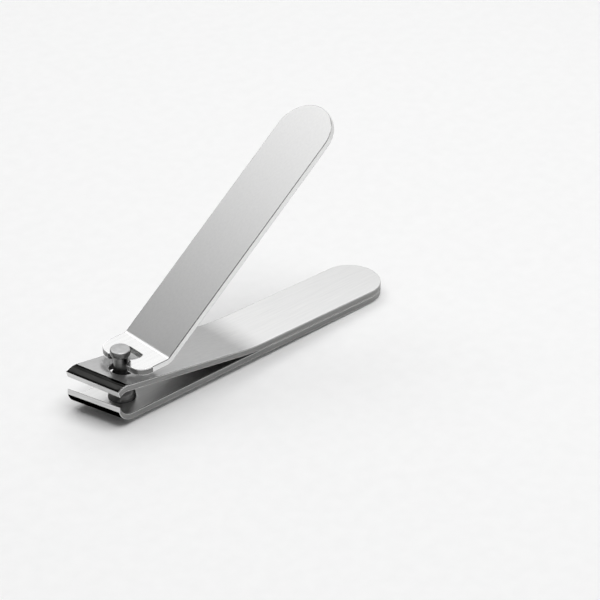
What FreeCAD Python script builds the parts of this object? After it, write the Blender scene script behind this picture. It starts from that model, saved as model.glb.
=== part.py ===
"""Nail clipper: two spring arms spot-welded at the tail, a swivelling post and a thumb lever.

All lengths are in millimetres. X runs forward to the jaws, Y to the left side and Z up. The origin is
on the post's axis, on the underside of its flange, where the clipper rests on the table.
"""
import FreeCAD, Part
import math
import os

Vec = FreeCAD.Vector

# arms
TAIL_WIDTH = 14.0
JAW_WIDTH = 12.8
PLATE = 1.5            # thickness of both arms
BODY_END = -75.5       # back of the rounded tail
SPLIT_X = -31.5        # where the welded tail ends and the arms part
FLOOR_GAP = 1.15       # height of the lower arm above the table
TAIL_DROP = 1.5        # degrees the welded tail falls towards its end
RISE = 9.5             # degrees the upper arm climbs from the split

# jaws
EDGE_X = 7.5           # cutting edge, on the centre line
SLANT = 16.0           # degrees the cutting edges are swept back towards the left side
LOWER_EDGE = 4.25      # cutting edge above the lower arm's underside
UPPER_EDGE = 7.0
UPPER_SETBACK = 0.2    # the open upper edge stands back, so that the closed edges meet
EDGE_LAND = 0.12       # flat width left on each cutting edge

# post
FLANGE_RADIUS = 4.0
FLANGE = 1.1
BASE_RADIUS = 2.9
POST_RADIUS = 2.15
RUNNING = 0.05         # radial clearance of the base in the lower arm
UPPER_HOLE = 2.75      # radius, so that the upper arm can tip around the post
NECK_RADIUS = 1.55     # tapered neck that the fork's slot fits round
NECK_BOTTOM = 9.6
NECK_TOP = 12.7
NECK_TOP_RADIUS = 1.72
POST_TOP = 14.55
HEAD = 1.25            # height of the head's straight rim
HEAD_CHAMFER = 0.2

# lever
LEVER = 1.5
LEVER_WIDTH = 14.4
FORK_UNDER = 10.7      # underside of the fork above the table
FORK_FRONT = 0.8       # tine tips ahead of the post's axis
BEND_X = -7.2
PLATE_ANGLE = 38.0
PLATE_LENGTH = 64.0
SLOT_NECK = 3.7        # slot width at the nubs behind the post's axis
SLOT_MOUTH = 5.8
NUB_X = -0.95
POCKET_RADIUS = 2.6
POCKET_X = -2.9
POCKET_BACK = -4.25    # straight back wall of the slot


def flat(x, z):
    return Vec(x, 0, z)


def turned(x, z, cx, cz, degrees):
    """Point (x, z) turned about (cx, cz), positive from +X towards +Z."""
    a = math.radians(degrees)
    dx = x - cx
    dz = z - cz
    return flat(cx + dx * math.cos(a) - dz * math.sin(a), cz + dx * math.sin(a) + dz * math.cos(a))


def polygon(points):
    return [Part.makeLine(a, b) for a, b in zip(points, points[1:] + points[:1])]


def prism(edges, along):
    """Solid swept from a closed outline by the vector along."""
    return Part.Face(Part.Wire(Part.__sortEdges__(edges))).extrude(along)


def swept_band(points):
    """Side profile in XZ, extruded across the full width."""
    moved = [p + Vec(0, -10, 0) for p in points]
    return prism(polygon(moved), Vec(0, 20, 0))


def arc_from_tangent(start, end, slope):
    """Arc that leaves start at the given slope in degrees and reaches end."""
    chord = end - start
    turn = math.degrees(math.atan2(chord.z, chord.x)) - slope
    half = turn / 2
    reach = chord.Length / 2 / math.cos(math.radians(half))
    a = math.radians(slope + half)
    middle = start + Vec(math.cos(a), 0, math.sin(a)) * reach
    return Part.Arc(start, middle, end).toShape()


def plan_outline():
    """Arm outline seen from above: rounded tail, sides that narrow to the jaw."""
    half = TAIL_WIDTH / 2
    centre = BODY_END + half
    jaw = JAW_WIDTH / 2
    front = EDGE_X + 6
    right_tail = Vec(centre, -half, -5)
    left_tail = Vec(centre, half, -5)
    right_split = Vec(SPLIT_X, -half, -5)
    left_split = Vec(SPLIT_X, half, -5)
    right_front = Vec(front, -jaw, -5)
    left_front = Vec(front, jaw, -5)
    edges = [
        Part.Arc(left_tail, Vec(BODY_END, 0, -5), right_tail).toShape(),
        Part.makeLine(right_tail, right_split),
        Part.makeLine(right_split, right_front),
        Part.makeLine(right_front, left_front),
        Part.makeLine(left_front, left_split),
        Part.makeLine(left_split, left_tail),
    ]
    return prism(edges, Vec(0, 0, 30))


def slanted_prism(edges, climb):
    """Sweep a jaw profile along the slanted cutting edge; climb keeps it in the arm's plane."""
    side = math.tan(math.radians(SLANT))
    step = Vec(-side, 1, -side * math.tan(math.radians(climb)))
    moved = []
    for edge in edges:
        copy = edge.copy()
        copy.translate(step * -12)
        moved.append(copy)
    return prism(moved, step * 24)


def before_nose(solid, nose_x):
    """Keep what lies behind the slanted line where the nose starts."""
    side = math.tan(math.radians(SLANT))
    outline = [
        Vec(nose_x + 12 * side, -12, -5),
        Vec(nose_x - 12 * side, 12, -5),
        Vec(BODY_END - 20, 12, -5),
        Vec(BODY_END - 20, -12, -5),
    ]
    return solid.common(prism(polygon(outline), Vec(0, 0, 30)))


def lower_nose():
    """Curved lower jaw with a ground bevel outside its cutting edge."""
    z = FLOOR_GAP
    inner_start = flat(4.2, z + PLATE)
    outer_start = flat(4.2, z)
    bevel = flat(EDGE_X + 0.15, z + 3.0)
    edge_out = flat(EDGE_X + EDGE_LAND / 2, z + LOWER_EDGE)
    edge_in = flat(EDGE_X - EDGE_LAND / 2, z + LOWER_EDGE)
    back_low = flat(1.0, z)
    back_high = flat(1.0, z + PLATE)
    edges = [
        Part.makeLine(back_low, outer_start),
        arc_from_tangent(outer_start, bevel, 0),
        Part.makeLine(bevel, edge_out),
        Part.makeLine(edge_out, edge_in),
        arc_from_tangent(inner_start, edge_in, 0),
        Part.makeLine(inner_start, back_high),
        Part.makeLine(back_high, back_low),
    ]
    return slanted_prism(edges, 0)


def upper_surface(x, above):
    """Point on the climbing upper arm, a given thickness above its underside."""
    climb = math.radians(RISE)
    z = FLOOR_GAP + PLATE + (x - SPLIT_X) * math.tan(climb) + above / math.cos(climb)
    return flat(x, z)


def upper_nose():
    """Upper jaw: the plate curls down to a backward-sloping bevel."""
    outer_start = upper_surface(5.0, PLATE)
    inner_start = upper_surface(5.2, 0)
    edge_x = EDGE_X - UPPER_SETBACK
    bevel = flat(edge_x + 0.45, FLOOR_GAP + UPPER_EDGE + 1.45)
    edge_out = flat(edge_x + EDGE_LAND / 2, FLOOR_GAP + UPPER_EDGE)
    edge_in = flat(edge_x - EDGE_LAND / 2, FLOOR_GAP + UPPER_EDGE)
    back_high = upper_surface(1.0, PLATE)
    back_low = upper_surface(1.0, 0)
    edges = [
        Part.makeLine(back_high, outer_start),
        arc_from_tangent(outer_start, bevel, RISE),
        Part.makeLine(bevel, edge_out),
        Part.makeLine(edge_out, edge_in),
        arc_from_tangent(inner_start, edge_in, RISE),
        Part.makeLine(inner_start, back_low),
        Part.makeLine(back_low, back_high),
    ]
    return slanted_prism(edges, RISE)


def tail_point(back, height):
    """Point on the welded tail: distance behind the split and height above its underside."""
    return turned(SPLIT_X - back, FLOOR_GAP + height, SPLIT_X, FLOOR_GAP, TAIL_DROP)


def lower_arm():
    """Lower spring arm: kinked at the split, with the post's bearing hole."""
    length = SPLIT_X - BODY_END + 2
    side = [
        flat(6, FLOOR_GAP),
        flat(6, FLOOR_GAP + PLATE),
        flat(SPLIT_X, FLOOR_GAP + PLATE),
        tail_point(length, PLATE),
        tail_point(length, 0),
        flat(SPLIT_X, FLOOR_GAP),
    ]
    arm = before_nose(swept_band(side), 2.0).fuse(lower_nose()).common(plan_outline())
    hole = Part.makeCylinder(BASE_RADIUS + RUNNING, PLATE + 2, Vec(0, 0, FLOOR_GAP - 1))
    return arm.cut(hole).removeSplitter()


def upper_arm_tail():
    """The half of the upper arm that is welded on the lower arm's tail."""
    length = SPLIT_X - BODY_END + 2
    start = flat(SPLIT_X, FLOOR_GAP + PLATE)
    side = [
        start,
        flat(SPLIT_X, FLOOR_GAP + 2 * PLATE),
        tail_point(length, 2 * PLATE),
        tail_point(length, PLATE),
    ]
    return swept_band(side).common(plan_outline())


def upper_arm_jaw():
    """The half of the upper arm that flexes, from the split to the upper cutting edge."""
    side = [
        flat(SPLIT_X, FLOOR_GAP + PLATE),
        upper_surface(6, 0),
        upper_surface(6, PLATE),
        flat(SPLIT_X, FLOOR_GAP + 2 * PLATE),
    ]
    arm = before_nose(swept_band(side), 2.0).fuse(upper_nose()).common(plan_outline())
    hole = Part.makeCylinder(UPPER_HOLE, 12, Vec(0, 0, FLOOR_GAP + PLATE + 2))
    return arm.cut(hole).removeSplitter()


def post():
    """Turned post: flange, wide base, flared shaft, narrow neck and head."""
    base_top = FLOOR_GAP + PLATE + 0.9
    profile = [
        flat(0, 0),
        flat(FLANGE_RADIUS - 0.3, 0),
        flat(FLANGE_RADIUS, 0.3),
        flat(FLANGE_RADIUS, FLANGE),
        flat(BASE_RADIUS, FLANGE),
        flat(BASE_RADIUS, base_top),
        flat(POST_RADIUS + 0.15, base_top + 1.9),
        flat(POST_RADIUS, base_top + 2.4),
        flat(POST_RADIUS, NECK_BOTTOM - 1.6),
        flat(NECK_RADIUS, NECK_BOTTOM),
        flat(NECK_TOP_RADIUS, NECK_TOP),
        flat(POST_RADIUS, POST_TOP - HEAD),
        flat(POST_RADIUS, POST_TOP - HEAD_CHAMFER),
        flat(POST_RADIUS - HEAD_CHAMFER, POST_TOP),
        flat(0, POST_TOP),
    ]
    return Part.Face(Part.Wire(polygon(profile))).revolve(Vec(0, 0, 0), Vec(0, 0, 1), 360)


def fork_outline():
    """Fork seen from above: rounded front, back edge behind the bend."""
    half = LEVER_WIDTH / 2
    tip = SLOT_MOUTH / 2 - 0.2
    left_back = Vec(BEND_X - 3, half, 0)
    right_back = Vec(BEND_X - 3, -half, 0)
    left_side = Vec(-3.0, half, 0)
    right_side = Vec(-3.0, -half, 0)
    left_tip = Vec(FORK_FRONT, tip, 0)
    right_tip = Vec(FORK_FRONT, -tip, 0)
    left_mid = Vec(-0.5, half - 1.15, 0)
    right_mid = Vec(-0.5, -half + 1.15, 0)
    edges = [
        Part.makeLine(right_back, right_side),
        Part.Arc(right_side, right_mid, right_tip).toShape(),
        Part.makeLine(right_tip, left_tip),
        Part.Arc(left_tip, left_mid, left_side).toShape(),
        Part.makeLine(left_side, left_back),
        Part.makeLine(left_back, right_back),
    ]
    return prism(edges, Vec(0, 0, 30))


def fork_slot():
    """Open slot: flared mouth, two nubs behind the post's axis and a round pocket with a straight back."""
    neck = SLOT_NECK / 2
    mouth = SLOT_MOUTH / 2 + 0.2
    mouth_points = [
        Vec(FORK_FRONT + 0.2, mouth, 0),
        Vec(NUB_X, neck, 0),
        Vec(POCKET_X, neck, 0),
        Vec(POCKET_X, -neck, 0),
        Vec(NUB_X, -neck, 0),
        Vec(FORK_FRONT + 0.2, -mouth, 0),
    ]
    pocket = Part.makeCylinder(POCKET_RADIUS, 30, Vec(POCKET_X, 0, 0))
    pocket = pocket.common(Part.makeBox(20, 20, 30, Vec(POCKET_BACK, -10, 0)))
    return prism(polygon(mouth_points), Vec(0, 0, 30)).fuse(pocket)


def thumb_plate():
    """Long plate with a round end, turned up about the bend line."""
    half = LEVER_WIDTH / 2
    straight = PLATE_LENGTH - half
    edges = [
        Part.makeLine(Vec(0, -half, 0), Vec(-straight, -half, 0)),
        Part.Arc(Vec(-straight, -half, 0), Vec(-PLATE_LENGTH, 0, 0), Vec(-straight, half, 0)).toShape(),
        Part.makeLine(Vec(-straight, half, 0), Vec(0, half, 0)),
        Part.makeLine(Vec(0, half, 0), Vec(0, -half, 0)),
    ]
    plate = prism(edges, Vec(0, 0, -LEVER))
    plate.rotate(Vec(0, 0, 0), Vec(0, 1, 0), PLATE_ANGLE)
    plate.translate(Vec(BEND_X, 0, FORK_UNDER + LEVER))
    return plate


def lever():
    """Thumb lever: flat fork under the post's head, one bend, then the thumb plate."""
    under = FORK_UNDER
    top = FORK_UNDER + LEVER
    corner_x = BEND_X + LEVER * math.tan(math.radians(PLATE_ANGLE / 2))
    fork_side = [
        flat(FORK_FRONT + 1, under),
        flat(FORK_FRONT + 1, top),
        flat(BEND_X, top),
        flat(corner_x, under),
    ]
    fork = swept_band(fork_side).common(fork_outline()).cut(fork_slot())
    wedge_side = [
        flat(BEND_X, top),
        flat(corner_x, under),
        turned(BEND_X, under, BEND_X, top, -PLATE_ANGLE),
    ]
    moved = [p + Vec(0, -LEVER_WIDTH / 2, 0) for p in wedge_side]
    wedge = prism(polygon(moved), Vec(0, LEVER_WIDTH, 0))
    return fork.fuse(wedge).fuse(thumb_plate()).removeSplitter()


def main():
    os.makedirs("parts", exist_ok=True)
    parts = {
        "lower_arm": lower_arm(),
        "upper_arm_tail": upper_arm_tail(),
        "upper_arm_jaw": upper_arm_jaw(),
        "post": post(),
        "lever": lever(),
    }
    for name, shape in parts.items():
        solid = shape.Solids[0]
        print(name, len(shape.Solids), round(shape.Volume, 2), solid.isValid())
        solid.exportStep("parts/" + name + ".step")


main()
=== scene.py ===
"""Nail clipper: the visible pieces and their materials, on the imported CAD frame.

Lengths are in millimetres until a mesh is finished, and metres from there on. X runs forward to the
jaws, Y to the left side and Z up, as in the CAD model.
"""
import math
import bmesh
import bpy
from mathutils import Matrix, Vector


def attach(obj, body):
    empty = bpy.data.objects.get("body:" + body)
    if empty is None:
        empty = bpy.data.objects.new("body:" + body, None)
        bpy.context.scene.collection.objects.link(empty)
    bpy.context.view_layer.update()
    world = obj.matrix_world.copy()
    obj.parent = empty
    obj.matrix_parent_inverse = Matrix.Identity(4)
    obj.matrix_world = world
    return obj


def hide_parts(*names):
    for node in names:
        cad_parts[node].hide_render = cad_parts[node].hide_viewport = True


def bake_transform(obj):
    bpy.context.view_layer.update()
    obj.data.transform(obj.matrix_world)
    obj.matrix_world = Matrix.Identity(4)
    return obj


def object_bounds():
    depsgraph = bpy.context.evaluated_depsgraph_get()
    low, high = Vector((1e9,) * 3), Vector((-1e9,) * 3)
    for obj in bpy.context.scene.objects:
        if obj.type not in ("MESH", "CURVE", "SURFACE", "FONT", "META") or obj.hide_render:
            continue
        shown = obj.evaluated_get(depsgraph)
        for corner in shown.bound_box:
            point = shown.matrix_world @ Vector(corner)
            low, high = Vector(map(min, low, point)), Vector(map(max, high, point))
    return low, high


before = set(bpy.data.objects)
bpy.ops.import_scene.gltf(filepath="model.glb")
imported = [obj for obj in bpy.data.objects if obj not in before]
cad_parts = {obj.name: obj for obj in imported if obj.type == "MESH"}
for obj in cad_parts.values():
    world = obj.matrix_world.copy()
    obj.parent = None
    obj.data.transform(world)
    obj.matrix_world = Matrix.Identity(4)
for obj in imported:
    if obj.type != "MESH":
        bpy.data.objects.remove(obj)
cad_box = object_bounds()

MM = 0.001
BUMP_DEPTH = 0.00002       # metres

# arms
TAIL_HALF = 7.0
JAW_TAPER = 0.6 / 45.0     # how fast each side narrows ahead of the split
PLATE = 1.5
BODY_END = -75.47
SPLIT_X = -31.5
FLOOR_GAP = 1.15
TAIL_DROP = 1.5            # degrees
RISE = 9.5                 # degrees
BEND_HALF = 4.0            # the arms bend softly over this length each side of the split
BEND_SLICES = 10
FLEX_SLICES = 11           # cuts ahead of the bend, where the upper arm flexes
FLEX_STEP = 1.6
RIM = 0.17                 # polished chamfer round each plate
UPPER_HOLE = 2.75          # radius
RUNNING = 0.05             # clearance of the post's base in the lower arm
ROUND_STEPS = 56           # points round each plate's end

# jaws
EDGE_X = 7.5
SLANT = math.tan(math.radians(16.0))
LAND = 0.12
LOWER_EDGE = 4.25
UPPER_EDGE = 7.0
UPPER_SETBACK = 0.2
LOWER_NOSE = 4.2           # where each nose starts to curl
UPPER_NOSE = 5.2
LOWER_BEVEL = (0.15, 3.0)  # start of the ground bevel, from the edge's X and the arm's underside
UPPER_BEVEL = (0.45, 1.45) # the same, from the upper cutting edge
NOSE_FLAT = 4.8            # length of a nose before it is curled
NOSE_SLICES = 20
NOSE_CLEAR = 0.2           # the front edge is left without a chamfer over this length
BEVEL_FROM = 0.72          # share of the nose where the ground bevel starts

# post
FLANGE_RADIUS = 4.0
FLANGE = 1.1
FLANGE_ROUND = 0.3
BASE_RADIUS = 2.9
BASE_RISE = 0.9            # height of the base above the lower arm
FLARE = 2.3                # length of the passage from base to shaft
POST_RADIUS = 2.15
NECK_TAPER = 1.7           # length of the passage from shaft to neck
NECK_RADIUS = 1.55
NECK_BOTTOM = 9.6
NECK_TOP = 12.7
NECK_TOP_RADIUS = 1.72
POST_TOP = 14.55
HEAD = 1.25
HEAD_ROUND = 0.28
TURNED_FROM = 0.12         # the turned face reaches this far below the post's top
POST_STEPS = 96

# lever
LEVER = 1.5
LEVER_HALF = 7.2
FORK_UNDER = 10.7
BEND_X = -7.2
PLATE_ANGLE = 38.0         # degrees
PLATE_LENGTH = 64.0
LEVER_BEND_HALF = 0.45
LEVER_BEND_SLICES = 8
SLOT_NECK = 1.85           # half width of the slot at its nubs
POCKET_RADIUS = 2.6
POCKET_X = -2.9
POCKET_BACK = -4.25
TIP_X = 0.28               # centre and radius of each tine's rounded tip
TIP_Y = 3.25
TIP_RADIUS = 0.52
TINE_FROM = -2.9           # where the fork's sides start to round towards the tine tips
TINE_REACH = 3.6
TINE_INSIDE = 3.45
TINE_FULLNESS = 0.85       # under 1 makes the corner fuller than an ellipse
TINE_STEPS = 16


# ---- small geometry helpers ----

def circle(cx, cy, radius, first, last, count):
    """Points on an arc, from the first to the last angle in degrees."""
    points = []
    for i in range(count + 1):
        a = math.radians(first + (last - first) * i / count)
        points.append((cx + radius * math.cos(a), cy + radius * math.sin(a)))
    return points


def tangent_arc(start, end, slope, share):
    """Point at a share of the arc that leaves start at slope degrees and reaches end, in XZ."""
    dx = end[0] - start[0]
    dz = end[1] - start[1]
    first = math.radians(slope)
    turn = math.atan2(dz, dx) - first
    radius = math.hypot(dx, dz) / (2 * math.sin(turn))
    here = first + 2 * turn * share
    x = start[0] + radius * (math.sin(here) - math.sin(first))
    z = start[1] + radius * (math.cos(first) - math.cos(here))
    return (x, z)


def bent_line(s, height, kink, before, after, half):
    """Point on a line through kink that turns softly from one slope to another, height above it."""
    turn = math.radians(after - before)
    radius = half / math.tan(turn / 2)
    share = min(max((s + half) / (2 * half), 0), 1)
    first = math.radians(before)
    here = first + turn * share
    x = kink[0] - half * math.cos(first) + radius * (math.sin(here) - math.sin(first))
    z = kink[1] - half * math.sin(first) + radius * (math.cos(first) - math.cos(here))
    rest = s + half if share == 0 else s - half if share == 1 else 0
    x += rest * math.cos(here) - height * math.sin(here)
    z += rest * math.sin(here) + height * math.cos(here)
    return (x, z)


def mix(a, b, share):
    return (a[0] + (b[0] - a[0]) * share, a[1] + (b[1] - a[1]) * share)


# ---- flat plates ----

def flat_plate(outline, thickness):
    """A plate lying on Z = 0, from an anticlockwise outline."""
    bm = bmesh.new()
    face = bm.faces.new([bm.verts.new((x, y, 0)) for x, y in outline])
    made = bmesh.ops.extrude_face_region(bm, geom=[face])
    raised = [g for g in made["geom"] if isinstance(g, bmesh.types.BMVert)]
    bmesh.ops.translate(bm, verts=raised, vec=(0, 0, thickness))
    bmesh.ops.recalc_face_normals(bm, faces=bm.faces)
    return bm


def rim_edges(bm, keep=None):
    """Edges between a flat face and a wall: all, or where keep is true of the edge's middle."""
    edges = []
    for edge in bm.edges:
        if len(edge.link_faces) != 2:
            continue
        tilts = sorted(abs(face.normal.z) for face in edge.link_faces)
        middle = (edge.verts[0].co + edge.verts[1].co) / 2
        if tilts[0] < 0.1 and tilts[1] > 0.9 and (keep is None or keep(middle)):
            edges.append(edge)
    return edges


def chamfer(bm, edges, width, material):
    """Round the edges with three narrow faces of their own material."""
    bm.normal_update()
    bmesh.ops.bevel(
        bm, geom=edges, offset=width, offset_type="OFFSET", segments=3, profile=0.6,
        affect="EDGES", clamp_overlap=False, material=material,
    )


def slice_at(bm, positions, slant=0.0):
    """Cut the plate across at these places, so that it can bend there."""
    for x in positions:
        everything = bm.verts[:] + bm.edges[:] + bm.faces[:]
        bmesh.ops.bisect_plane(bm, geom=everything, plane_co=(x, 0, 0), plane_no=(1, slant, 0))


def cut_hole(bm, x, radius):
    """A round hole through a flat plate, made as a boolean on a temporary object."""
    mesh = bpy.data.meshes.new("blank")
    bm.to_mesh(mesh)
    bm.free()
    blank = bpy.data.objects.new("blank", mesh)
    drill = bmesh.new()
    bmesh.ops.create_cone(
        drill, cap_ends=True, segments=72, radius1=radius, radius2=radius, depth=20,
    )
    drill_mesh = bpy.data.meshes.new("drill")
    drill.to_mesh(drill_mesh)
    drill.free()
    tool = bpy.data.objects.new("drill", drill_mesh)
    tool.location = (x, 0, 0)
    for item in (blank, tool):
        bpy.context.scene.collection.objects.link(item)
    result = boolean(blank, tool)
    for item in (blank, tool):
        bpy.data.objects.remove(item)
    return result


def boolean(blank, tool):
    cut = blank.modifiers.new("cut", "BOOLEAN")
    cut.operation = "DIFFERENCE"
    cut.solver = "EXACT"
    cut.object = tool
    bpy.context.view_layer.update()
    evaluated = blank.evaluated_get(bpy.context.evaluated_depsgraph_get())
    result = bmesh.new()
    result.from_mesh(evaluated.to_mesh())
    evaluated.to_mesh_clear()
    return result


def finished(bm, name, materials, angle=30):
    """Turn the mesh into metres and give it its materials."""
    bmesh.ops.remove_doubles(bm, verts=bm.verts, dist=1e-5)
    bmesh.ops.recalc_face_normals(bm, faces=bm.faces)
    bmesh.ops.scale(bm, vec=(MM, MM, MM), verts=bm.verts)
    for face in bm.faces:
        face.smooth = True
    mesh = bpy.data.meshes.new(name)
    bm.to_mesh(mesh)
    bm.free()
    mesh.set_sharp_from_angle(angle=math.radians(angle))
    for material in materials:
        mesh.materials.append(material)
    piece = bpy.data.objects.new(name, mesh)
    bpy.context.scene.collection.objects.link(piece)
    return piece


def weight_normals(piece):
    """Flat faces keep flat shading beside their chamfers."""
    weighted = piece.modifiers.new("weighted", "WEIGHTED_NORMAL")
    weighted.keep_sharp = True
    weighted.weight = 60


# ---- materials ----

def new_material(name, color, roughness, metallic=1.0):
    material = bpy.data.materials.new(name)
    material.use_nodes = True
    shader = material.node_tree.nodes["Principled BSDF"]
    shader.inputs["Base Color"].default_value = (color[0], color[1], color[2], 1)
    shader.inputs["Roughness"].default_value = roughness
    shader.inputs["Metallic"].default_value = metallic
    return material, material.node_tree, shader


def stretched_noise(tree, stretch, scale, detail=4.0, turn=0.0):
    """Noise drawn out along one direction, as a grinding belt leaves it."""
    place = tree.nodes.new("ShaderNodeTexCoord")
    mapping = tree.nodes.new("ShaderNodeMapping")
    mapping.inputs["Scale"].default_value = stretch
    mapping.inputs["Rotation"].default_value = (0, turn, 0)
    noise = tree.nodes.new("ShaderNodeTexNoise")
    noise.inputs["Scale"].default_value = scale
    noise.inputs["Detail"].default_value = detail
    tree.links.new(place.outputs["Object"], mapping.inputs["Vector"])
    tree.links.new(mapping.outputs["Vector"], noise.inputs["Vector"])
    return noise


def spread(tree, source, low, high, start=0.3, stop=0.7):
    """The source's middle values spread from low to high."""
    node = tree.nodes.new("ShaderNodeMapRange")
    node.inputs["From Min"].default_value = start
    node.inputs["From Max"].default_value = stop
    node.inputs["To Min"].default_value = low
    node.inputs["To Max"].default_value = high
    tree.links.new(source, node.inputs["Value"])
    return node.outputs["Result"]


def tinted(tree, source, dark, light):
    """A grey between two shades, by the source."""
    node = tree.nodes.new("ShaderNodeMix")
    node.data_type = "RGBA"
    node.inputs["A"].default_value = (*dark, 1)
    node.inputs["B"].default_value = (*light, 1)
    tree.links.new(source, node.inputs["Factor"])
    return node.outputs["Result"]


def bumped(tree, shader, source, strength, distance):
    node = tree.nodes.new("ShaderNodeBump")
    node.inputs["Strength"].default_value = strength
    node.inputs["Distance"].default_value = distance
    tree.links.new(source, node.inputs["Height"])
    tree.links.new(node.outputs["Normal"], shader.inputs["Normal"])


def grained_steel(name, shade, roughness, stretch, scale, contrast, bump, turn):
    """Steel with a fine directional grain and broader, faint cloudiness."""
    material, tree, shader = new_material(name, (shade, shade, shade), roughness)
    grain = stretched_noise(tree, stretch, scale, turn=turn)
    cloud = stretched_noise(tree, (1, 1, 1), 90.0, 2.0)
    both = tree.nodes.new("ShaderNodeMath")
    both.operation = "MULTIPLY_ADD"
    both.inputs[1].default_value = 0.35
    tree.links.new(cloud.outputs["Fac"], both.inputs[0])
    tree.links.new(grain.outputs["Fac"], both.inputs[2])
    level = spread(tree, both.outputs["Value"], 0.0, 1.0, 0.35, 1.0)
    dark = (shade - contrast, shade - contrast, shade - contrast)
    light = (shade + contrast, shade + contrast, shade + contrast * 0.9)
    tree.links.new(tinted(tree, level, dark, light), shader.inputs["Base Color"])
    rough = spread(tree, both.outputs["Value"], roughness * 0.95, roughness * 1.05, 0.35, 1.0)
    tree.links.new(rough, shader.inputs["Roughness"])
    bumped(tree, shader, grain.outputs["Fac"], bump, BUMP_DEPTH)
    return material


ALONG = (30.0, 900.0, 900.0)         # grain that runs along the clipper
ACROSS = (900.0, 60.0, 900.0)        # grain that runs across the jaws
BEVEL_GRAIN = (200.0, 200.0, 1500.0)
SHEARED = (20.0, 60.0, 1400.0)       # the cut sides of a stamped plate
TINE_GRAIN = (60.0, 60.0, 1400.0)
LATHE = (60.0, 60.0, 2500.0)
PLATE_TURN = math.radians(PLATE_ANGLE)

# name: shade, roughness, grain, grain scale, contrast, bump, turn of the grain
STEELS = {
    "satin_steel": (0.70, 0.30, ALONG, 3.0, 0.04, 0.04, 0.0),
    # painted shade: the arms' faces that look into the gap between them are darker than the same
    # satin outside; the rougher grain is the finish
    "satin_inner_painted_shade": (0.62, 0.32, ALONG, 3.0, 0.04, 0.08, 0.0),
    "lever_satin": (0.62, 0.33, ALONG, 3.0, 0.03, 0.06, PLATE_TURN),
    # painted shade: the lever's underside is a darker copy of its top satin, so that it and its
    # reflection in the arm below look shaded
    "lever_under_painted_shade": (0.55, 0.33, ALONG, 3.0, 0.04, 0.08, PLATE_TURN),
    "rim_polish": (0.62, 0.20, ALONG, 2.0, 0.05, 0.05, 0.0),
    # painted shade: the lever's polished chamfer is far darker than the arms' chamfer, painting a
    # dark line between the lever's top and its sides
    "lever_rim_painted_shade": (0.42, 0.20, ALONG, 2.0, 0.05, 0.05, PLATE_TURN),
    # painted shade: the arms' sheared sides are painted dark grey, far darker than the lever's
    # sides of the same steel
    "cut_side_painted_shade": (0.26, 0.40, SHEARED, 3.0, 0.07, 0.25, 0.0),
    # painted light: the lever's sheared sides are painted light grey, far lighter than the arms'
    # sides of the same steel
    "lever_side_painted_light": (0.82, 0.30, SHEARED, 3.0, 0.06, 0.2, PLATE_TURN),
    # painted reflection: the polished noses are painted near black for the dark surroundings they
    # reflect
    "nose_painted_dark_reflection": (0.025, 0.12, ACROSS, 2.0, 0.01, 0.03, 0.0),
    "ground_bevel": (0.62, 0.30, BEVEL_GRAIN, 2.0, 0.08, 0.2, 0.0),
    "fork_mirror": (0.64, 0.17, ALONG, 2.0, 0.03, 0.03, 0.0),
    # painted shade: the tines' sheared sides are painted almost black, far darker than the thumb
    # plate's sides of the same lever
    "fork_side": (0.20, 0.28, TINE_GRAIN, 3.0, 0.06, 0.2, 0.0),
    # painted highlight: the tines' polished chamfer is painted near white as a bright outline, far
    # lighter than the thumb plate's chamfer
    "fork_rim_painted_highlight": (0.88, 0.14, ALONG, 2.0, 0.03, 0.03, 0.0),
    # painted shade: the turned post below its head face is painted near black for the shade under
    # the head and between the arms
    "post_shaft_painted_shade": (0.16, 0.30, LATHE, 2.0, 0.04, 0.25, 0.0),
}
steel = {name: grained_steel(name, *look) for name, look in STEELS.items()}

# painted dark reflection: the noses' near-black colour stands for the dark surroundings they
# reflect, and a dark specular tint keeps that painted reflection dark at grazing angles too
NOSE_PAINTED_REFLECTION_TINT = (0.1, 0.1, 0.1, 1)
nose_shader = steel["nose_painted_dark_reflection"].node_tree.nodes["Principled BSDF"]
nose_shader.inputs["Specular Tint"].default_value = NOSE_PAINTED_REFLECTION_TINT


def turned_face(name, shade, roughness):
    """A lathe-turned face: fine rings about the post's axis."""
    material, tree, shader = new_material(name, (shade, shade, shade), roughness)
    place = tree.nodes.new("ShaderNodeTexCoord")
    rings = tree.nodes.new("ShaderNodeTexWave")
    rings.wave_type = "RINGS"
    rings.rings_direction = "Z"
    rings.inputs["Scale"].default_value = 1800.0
    rings.inputs["Distortion"].default_value = 1.5
    tree.links.new(place.outputs["Object"], rings.inputs["Vector"])
    cloud = stretched_noise(tree, (1, 1, 1), 700.0, 3.0)
    level = spread(tree, cloud.outputs["Fac"], 0.0, 1.0)
    low = shade * 0.88
    high = shade * 1.1
    color = tinted(tree, level, (low, low, low), (high, high, high))
    tree.links.new(color, shader.inputs["Base Color"])
    bumped(tree, shader, rings.outputs["Fac"], 0.15, BUMP_DEPTH)
    return material


post_face = turned_face("post_face", 0.46, 0.42)

ARM_MATERIALS = [
    steel["satin_steel"], steel["satin_inner_painted_shade"], steel["rim_polish"], steel["cut_side_painted_shade"],
    steel["nose_painted_dark_reflection"], steel["ground_bevel"],
]
TOP, INNER, RIM_MAT, SIDE, NOSE, GROUND = range(6)

LEVER_MATERIALS = [
    steel["lever_satin"], steel["lever_under_painted_shade"], steel["lever_rim_painted_shade"], steel["lever_side_painted_light"],
    steel["fork_mirror"], steel["fork_side"], steel["fork_rim_painted_highlight"],
]
THUMB_TOP, UNDER, THUMB_RIM, THUMB_SIDE, FORK_TOP, TINE_SIDE, TINE_RIM = range(7)

POST_MATERIALS = [steel["post_shaft_painted_shade"], post_face]
SHAFT, HEAD_FACE = range(2)


# ---- arms ----

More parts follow.
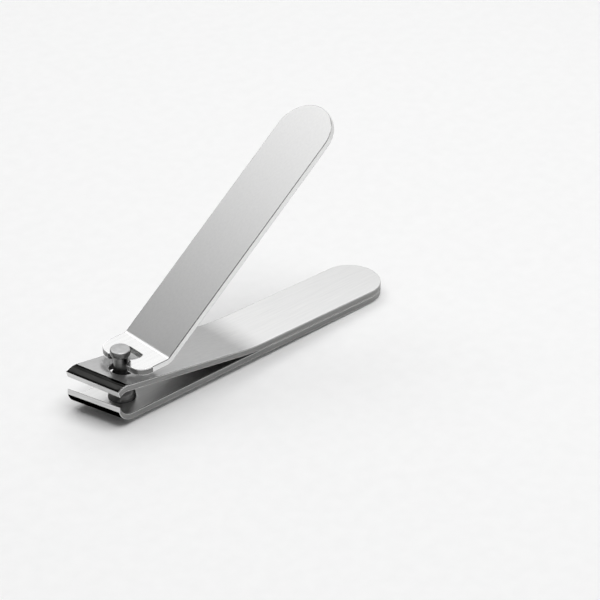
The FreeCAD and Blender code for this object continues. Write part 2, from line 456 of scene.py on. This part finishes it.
def arm_outline(front):
    """Flat outline: slanted front, sides that widen to the split, round tail."""
    half = TAIL_HALF - JAW_TAPER * (front - SPLIT_X)
    tail_centre = BODY_END + TAIL_HALF
    points = [(front + half * SLANT, -half), (front - half * SLANT, half), (SPLIT_X, TAIL_HALF)]
    points += circle(tail_centre, 0, TAIL_HALF, 90, 270, ROUND_STEPS)
    points.append((SPLIT_X, -TAIL_HALF))
    return points


def arm_blank(nose_start, slant, hole_x, hole_radius):
    """Flat arm with its hole, chamfers, and the cuts where it bends."""
    front = nose_start + NOSE_FLAT
    bm = flat_plate(arm_outline(front), PLATE)
    bm = cut_hole(bm, hole_x, hole_radius)
    bm.normal_update()

    def before_front(point):
        return point.x + point.y * slant < front - NOSE_CLEAR

    chamfer(bm, rim_edges(bm, before_front), RIM, RIM_MAT)
    bend_start = SPLIT_X - BEND_HALF
    bend_cuts = [bend_start + 2 * BEND_HALF * i / BEND_SLICES for i in range(BEND_SLICES + 1)]
    flex_cuts = [SPLIT_X + BEND_HALF + FLEX_STEP * i for i in range(1, FLEX_SLICES + 1)]
    slice_at(bm, bend_cuts + flex_cuts)
    nose_cuts = [nose_start + NOSE_FLAT * i / NOSE_SLICES for i in range(NOSE_SLICES)]
    nose_cuts.append(nose_start + NOSE_FLAT * BEVEL_FROM)
    slice_at(bm, nose_cuts, slant)
    return bm


def paint_arm(bm, nose_start, slant, outer_is_top):
    """Choose each face's material while the arm is still flat."""
    bm.normal_update()
    for face in bm.faces:
        if face.material_index == RIM_MAT:
            continue
        middle = face.calc_center_median()
        share = (middle.x + middle.y * slant - nose_start) / NOSE_FLAT
        outer = (face.normal.z > 0) == outer_is_top
        # painted light and shade: the sides get the dark painted-shade side steel, faces between
        # the arms the darker painted-shade satin, and the noses' outer faces the near-black painted
        # reflection
        if abs(face.normal.z) < 0.5:
            face.material_index = SIDE
        elif share < 0 or not outer:
            face.material_index = TOP if outer else INNER
        else:
            face.material_index = NOSE if share < BEVEL_FROM else GROUND


def curl(bm, place, nose_start, slant, climb, outer, inner, outer_is_top):
    """Move each vertex of the flat arm to its place on the bent arm."""
    a = math.radians(climb)
    for vert in bm.verts:
        u = vert.co.x + vert.co.y * slant
        share = (u - nose_start) / NOSE_FLAT
        if share <= 0:
            x, z = place(vert.co.x, vert.co.z)
        else:
            share = min(share, 1.0)
            depth = vert.co.z / PLATE
            if not outer_is_top:
                depth = 1 - depth
            x, z = mix(inner(share), outer(share), depth)
            shift = vert.co.x - u
            x += shift * math.cos(a)
            z += shift * math.sin(a)
        vert.co.x = x
        vert.co.z = z


def jaw_curves(outer_start, inner_start, bevel, edge_out, edge_in, slope):
    """Outer and inner outlines of a nose, each as a function of the share along it."""
    def outer(share):
        if share < BEVEL_FROM:
            return tangent_arc(outer_start, bevel, slope, share / BEVEL_FROM)
        return mix(bevel, edge_out, (share - BEVEL_FROM) / (1 - BEVEL_FROM))

    def inner(share):
        return tangent_arc(inner_start, edge_in, slope, share)

    return outer, inner


def lower_arm():
    def place(x, z):
        return bent_line(x - SPLIT_X, z, (SPLIT_X, FLOOR_GAP), TAIL_DROP, 0.0, BEND_HALF)

    bevel = (EDGE_X + LOWER_BEVEL[0], FLOOR_GAP + LOWER_BEVEL[1])
    edge_out = (EDGE_X + LAND / 2, FLOOR_GAP + LOWER_EDGE)
    edge_in = (EDGE_X - LAND / 2, FLOOR_GAP + LOWER_EDGE)
    outer, inner = jaw_curves(
        place(LOWER_NOSE, 0), place(LOWER_NOSE, PLATE), bevel, edge_out, edge_in, 0.0,
    )
    bm = arm_blank(LOWER_NOSE, SLANT, 0.0, BASE_RADIUS + RUNNING)
    paint_arm(bm, LOWER_NOSE, SLANT, False)
    curl(bm, place, LOWER_NOSE, SLANT, 0.0, outer, inner, False)
    piece = finished(bm, "lower_arm_steel", ARM_MATERIALS)
    weight_normals(piece)
    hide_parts("lower_arm")
    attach(piece, "frame")
    return piece


def upper_arm():
    kink = (SPLIT_X, FLOOR_GAP + PLATE)

    def place(x, z):
        return bent_line(x - SPLIT_X, z, kink, TAIL_DROP, RISE, BEND_HALF)

    cos_rise = math.cos(math.radians(RISE))
    start = SPLIT_X + (UPPER_NOSE - SPLIT_X) / cos_rise
    edge_x = EDGE_X - UPPER_SETBACK
    bevel = (edge_x + UPPER_BEVEL[0], FLOOR_GAP + UPPER_EDGE + UPPER_BEVEL[1])
    edge_out = (edge_x + LAND / 2, FLOOR_GAP + UPPER_EDGE)
    edge_in = (edge_x - LAND / 2, FLOOR_GAP + UPPER_EDGE)
    outer, inner = jaw_curves(
        place(start, PLATE), place(start, 0), bevel, edge_out, edge_in, RISE,
    )
    slant = SLANT / cos_rise
    bm = arm_blank(start, slant, SPLIT_X - SPLIT_X / cos_rise, UPPER_HOLE)
    paint_arm(bm, start, slant, True)
    curl(bm, place, start, slant, RISE, outer, inner, True)
    piece = finished(bm, "upper_arm_steel", ARM_MATERIALS)
    weight_normals(piece)
    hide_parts("upper_arm_tail", "upper_arm_jaw")
    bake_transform(piece)
    return piece


# ---- post ----

def eased(start, end, count):
    """Points of an S-shaped passage between two points of the profile."""
    points = []
    for i in range(1, count + 1):
        share = i / count
        ease = share * share * (3 - 2 * share)
        x = start[0] + (end[0] - start[0]) * ease
        points.append((x, start[1] + (end[1] - start[1]) * share))
    return points


def post_profile():
    """Outline of the turned post from the centre of its foot to the centre of its head."""
    base_top = FLOOR_GAP + PLATE + BASE_RISE
    foot = FLANGE_RADIUS - FLANGE_ROUND
    points = [(0, 0), (foot, 0)]
    points += circle(foot, FLANGE_ROUND, FLANGE_ROUND, -60, 0, 3)
    points += [(FLANGE_RADIUS, FLANGE - 0.15), (FLANGE_RADIUS - 0.15, FLANGE)]
    points += [(BASE_RADIUS, FLANGE), (BASE_RADIUS, base_top - 0.1)]
    points.append((BASE_RADIUS - 0.05, base_top))
    points += eased((BASE_RADIUS - 0.05, base_top), (POST_RADIUS, base_top + FLARE), 10)
    points.append((POST_RADIUS, NECK_BOTTOM - NECK_TAPER))
    points += eased((POST_RADIUS, NECK_BOTTOM - NECK_TAPER), (NECK_RADIUS, NECK_BOTTOM), 8)
    points.append((NECK_TOP_RADIUS, NECK_TOP))
    points += eased((NECK_TOP_RADIUS, NECK_TOP), (POST_RADIUS, POST_TOP - HEAD), 6)
    points.append((POST_RADIUS, POST_TOP - 0.3))
    points += circle(POST_RADIUS - HEAD_ROUND, POST_TOP - HEAD_ROUND, HEAD_ROUND, 15, 90, 5)
    points.append((0, POST_TOP))
    return points


def post():
    bm = bmesh.new()
    verts = [bm.verts.new((x, 0, z)) for x, z in post_profile()]
    edges = [bm.edges.new(pair) for pair in zip(verts, verts[1:])]
    bmesh.ops.spin(
        bm, geom=verts + edges, cent=(0, 0, 0), axis=(0, 0, 1), angle=math.radians(360),
        steps=POST_STEPS,
    )
    bmesh.ops.remove_doubles(bm, verts=bm.verts, dist=1e-4)
    for face in bm.faces:
        middle = face.calc_center_median()
        # painted shade: all but the head's turned face takes the near-black painted-shade shaft
        # steel
        face.material_index = HEAD_FACE if middle.z > POST_TOP - TURNED_FROM else SHAFT
    piece = finished(bm, "post_steel", POST_MATERIALS, 40)
    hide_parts("post")
    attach(piece, "post")
    return piece


# ---- lever ----

def fork_outline():
    """One side of the fork, from the slot's back wall to the lever's edge, seen from above."""
    points = [(POCKET_BACK, 0), (POCKET_BACK, 1.95), (POCKET_BACK + 0.08, 2.16)]
    points += circle(POCKET_X, 0, POCKET_RADIUS, 115, 47, 16)
    points += [(-1.03, SLOT_NECK + 0.02), (-0.93, SLOT_NECK), (-0.8, SLOT_NECK + 0.06)]
    points += circle(TIP_X, TIP_Y, TIP_RADIUS, -50, 40, 8)
    for i in range(1, TINE_STEPS + 1):
        a = math.radians(90 * i / TINE_STEPS)
        x = TINE_FROM + TINE_REACH * math.cos(a) ** TINE_FULLNESS
        y = TINE_INSIDE + (LEVER_HALF - TINE_INSIDE) * math.sin(a) ** TINE_FULLNESS
        points.append((x, y))
    return points


def lever_outline():
    """Flat outline of the whole lever, anticlockwise, with the open slot at its front."""
    half = fork_outline()
    other = [(x, -y) for x, y in half]
    back = BEND_X - (PLATE_LENGTH - LEVER_HALF)
    left = half[1:]
    right = other[::-1][:-1]
    return left + circle(back, 0, LEVER_HALF, 90, 270, ROUND_STEPS) + right + [half[0]]


def lever():
    bm = flat_plate(lever_outline(), LEVER)
    chamfer(bm, rim_edges(bm), RIM, THUMB_RIM)
    bend_start = BEND_X - LEVER_BEND_HALF
    bend_step = 2 * LEVER_BEND_HALF / LEVER_BEND_SLICES
    slice_at(bm, [bend_start + bend_step * i for i in range(LEVER_BEND_SLICES + 1)])
    bm.normal_update()
    for face in bm.faces:
        middle = face.calc_center_median()
        on_fork = middle.x > BEND_X
        on_tines = middle.x > TINE_FROM
        # painted light and shade: the tines' sides take a dark painted shade and their chamfer a
        # painted highlight; the thumb plate's sides a painted light and its chamfer a darker
        # painted line; the underside a painted shade
        if face.material_index == THUMB_RIM:
            face.material_index = TINE_RIM if on_tines else THUMB_RIM
        elif abs(face.normal.z) < 0.5:
            face.material_index = TINE_SIDE if on_tines else THUMB_SIDE
        elif face.normal.z < 0:
            face.material_index = UNDER
        else:
            face.material_index = FORK_TOP if on_fork else THUMB_TOP
    kink = (-BEND_X, FORK_UNDER + LEVER)
    for vert in bm.verts:
        behind = BEND_X - vert.co.x
        height = vert.co.z - LEVER
        x, z = bent_line(behind, height, kink, 0.0, PLATE_ANGLE, LEVER_BEND_HALF)
        vert.co.x = -x
        vert.co.z = z
    piece = finished(bm, "lever_steel", LEVER_MATERIALS)
    weight_normals(piece)
    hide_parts("lever")
    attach(piece, "lever")
    return piece


# ---- studio ----

# places in metres
FLOOR_HALF = 3.0
AIM = (-0.03, 0, 0.02)
AIM_LOW = (-0.03, 0, 0)
WORLD_STRENGTH = 0.24

CAMERA_TARGET = (-0.05593, -0.00391, 0.00115)
CAMERA_AZIMUTH = 136.2     # degrees
CAMERA_ELEVATION = 31.97
CAMERA_ROLL = 0.67
CAMERA_DISTANCE = 0.462
CAMERA_LENS = 120.0        # millimetres, on a 36 mm sensor


def floor():
    bm = bmesh.new()
    bmesh.ops.create_grid(bm, x_segments=1, y_segments=1, size=FLOOR_HALF)
    mesh = bpy.data.meshes.new("floor")
    bm.to_mesh(mesh)
    bm.free()
    material, tree, shader = new_material("floor_paper", (0.9, 0.9, 0.9), 0.9, 0.0)
    grain = stretched_noise(tree, (1, 1, 1), 300.0)
    level = spread(tree, grain.outputs["Fac"], 0.0, 1.0)
    color = tinted(tree, level, (0.89, 0.89, 0.89), (0.91, 0.91, 0.91))
    tree.links.new(color, shader.inputs["Base Color"])
    mesh.materials.append(material)
    piece = bpy.data.objects.new("floor", mesh)
    piece.location = (0, 0, cad_box[0][2])
    bpy.context.scene.collection.objects.link(piece)


def softbox(name, place, aim, width, height, watts):
    """A rectangular lamp; places are in metres."""
    lamp = bpy.data.lights.new(name, "AREA")
    lamp.shape = "RECTANGLE"
    lamp.size = width
    lamp.size_y = height
    lamp.energy = watts
    thing = bpy.data.objects.new(name, lamp)
    thing.location = place
    direction = Vector(aim) - Vector(place)
    thing.rotation_euler = direction.to_track_quat("-Z", "Y").to_euler()
    bpy.context.scene.collection.objects.link(thing)


def studio():
    floor()
    world = bpy.data.worlds.new("studio")
    bpy.context.scene.world = world
    world.use_nodes = True
    sky = world.node_tree.nodes["Background"]
    sky.inputs["Color"].default_value = (1, 1, 1, 1)
    sky.inputs["Strength"].default_value = WORLD_STRENGTH
    softbox("back_softbox", (-0.70, -0.64, 0.76), AIM, width=1.3, height=0.60, watts=3.0)
    softbox("side_softbox", (0.06, -0.62, 0.92), AIM, width=0.66, height=0.6, watts=2.2)
    softbox("top_softbox", (-0.10, 0.15, 0.85), AIM_LOW, width=0.6, height=0.6, watts=4.8)
    bpy.context.scene.view_settings.view_transform = "Standard"


def camera():
    a = math.radians(CAMERA_AZIMUTH)
    e = math.radians(CAMERA_ELEVATION)
    back = Vector((math.sin(a) * math.cos(e), -math.cos(a) * math.cos(e), math.sin(e)))
    lens = bpy.data.cameras.new("camera")
    lens.lens = CAMERA_LENS
    lens.sensor_width = 36.0
    lens.clip_start = 0.01
    eye = bpy.data.objects.new("camera", lens)
    turn = (-back).to_track_quat("-Z", "Y").to_matrix().to_4x4()
    roll = Matrix.Rotation(math.radians(CAMERA_ROLL), 4, "Z")
    place = Vector(CAMERA_TARGET) + back * CAMERA_DISTANCE
    eye.matrix_world = Matrix.Translation(place) @ turn @ roll
    bpy.context.scene.collection.objects.link(eye)
    bpy.context.scene.camera = eye


lower_arm()
upper_arm()
post()
lever()
studio()
camera()
